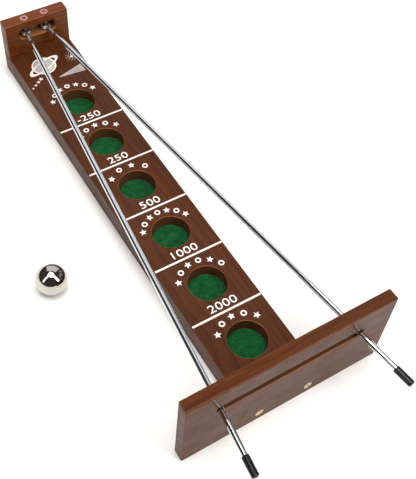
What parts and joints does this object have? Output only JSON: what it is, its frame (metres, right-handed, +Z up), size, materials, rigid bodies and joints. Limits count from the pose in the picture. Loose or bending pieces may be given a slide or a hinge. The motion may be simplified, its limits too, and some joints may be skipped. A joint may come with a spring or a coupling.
{
  "type": "two-rail ball skill game",
  "caption": "Tabletop skill game: a stained wooden board with felt-lined cups, a slotted front plate, a rear pivot block and two swinging steel rods that carry a steel ball.",
  "frame": {"origin": "middle of the board's underside, on the table", "axes": "+X to the player's right, +Y from the player along the board to the pivot block, +Z up"},
  "size_m": [0.2004, 0.4752, 0.079],
  "materials": {
    "stained_board": "dark walnut stain under satin lacquer",
    "stained_plate": "reddish brown stain under satin lacquer",
    "polished_steel": "mirror polished",
    "chromed_rod": "bright chrome plate",
    "zinc_steel": "zinc plated",
    "brass": "brass plated",
    "black_plastic": "soft satin black",
    "green_felt": "pressed wool felt"
  },
  "bodies": {
    "base": {"deck_board": "stained_board", "front_plate": "stained_plate", "pivot_block": "stained_plate", "left_pivot_washer": "zinc_steel", "right_pivot_washer": "zinc_steel", "left_pivot_screw": "brass", "left_plate_screw": "brass", "left_block_screw": "zinc_steel", "right_pivot_screw": "brass", "right_plate_screw": "brass", "right_block_screw": "zinc_steel", "felt_disc_1": "green_felt", "felt_disc_2": "green_felt", "felt_disc_3": "green_felt", "felt_disc_4": "green_felt", "felt_disc_5": "green_felt", "felt_disc_6": "green_felt"},
    "left_rod_arm": {"left_rod": "chromed_rod", "left_rod_eye": "chromed_rod", "left_grip_cap": "black_plastic"},
    "right_rod_arm": {"right_rod": "chromed_rod", "right_rod_eye": "chromed_rod", "right_grip_cap": "black_plastic"},
    "ball": {"steel_ball": "polished_steel"}
  },
  "joints": [
    {"name": "left_rod_swing", "type": "hinge", "parent": "base", "child": "left_rod_arm", "pos_m": [-0.0102, 0.2013, 0.0411], "axis": [0, 0, 1], "range_deg": [0, 7.34]},
    {"name": "right_rod_swing", "type": "hinge", "parent": "base", "child": "right_rod_arm", "pos_m": [0.0102, 0.2013, 0.0411], "axis": [0, 0, -1], "range_deg": [0, 7.34]},
    {"name": "ball_lift", "type": "slide", "parent": "base", "child": "ball", "axis": [0, 0, 1], "range_m": [0, 0.08]}
  ]
}
